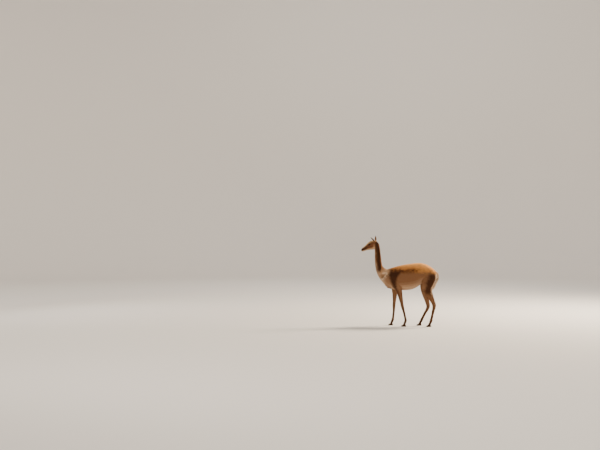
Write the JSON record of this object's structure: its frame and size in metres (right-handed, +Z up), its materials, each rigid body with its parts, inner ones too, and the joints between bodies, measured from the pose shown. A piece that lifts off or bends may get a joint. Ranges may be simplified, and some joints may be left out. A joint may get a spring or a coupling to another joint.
{
  "type": "vicuna",
  "caption": "Life-size standing vicuna in a slow walk, head held high, with slender legs, a long neck, cupped ears and a short hanging tail.",
  "frame": {"origin": "on the floor under the middle of the whole animal's bounding box", "axes": "+Z up, the animal faces -Y, its left side is towards +X"},
  "size_m": [0.2928, 1.152, 1.3438],
  "materials": {
    "coat": "matte wool and short hair",
    "eye": "wet and glossy",
    "nail": "smooth dull horn"
  },
  "bodies": {
    "root": {"torso": "coat", "breast": "coat", "neck": "coat", "head": "coat", "ear_left": "coat", "ear_right": "coat", "eye_left": "eye", "eye_right": "eye", "tail": "coat", "fore_left_upper_leg": "coat", "fore_left_lower_leg": "coat", "fore_left_foot": "coat", "fore_left_nail_left": "nail", "fore_left_nail_right": "nail", "fore_right_upper_leg": "coat", "fore_right_lower_leg": "coat", "fore_right_foot": "coat", "fore_right_nail_left": "nail", "fore_right_nail_right": "nail", "hind_left_upper_leg": "coat", "hind_left_lower_leg": "coat", "hind_left_foot": "coat", "hind_left_nail_left": "nail", "hind_left_nail_right": "nail", "hind_right_upper_leg": "coat", "hind_right_lower_leg": "coat", "hind_right_foot": "coat", "hind_right_nail_left": "nail", "hind_right_nail_right": "nail"}
  },
  "joints": []
}
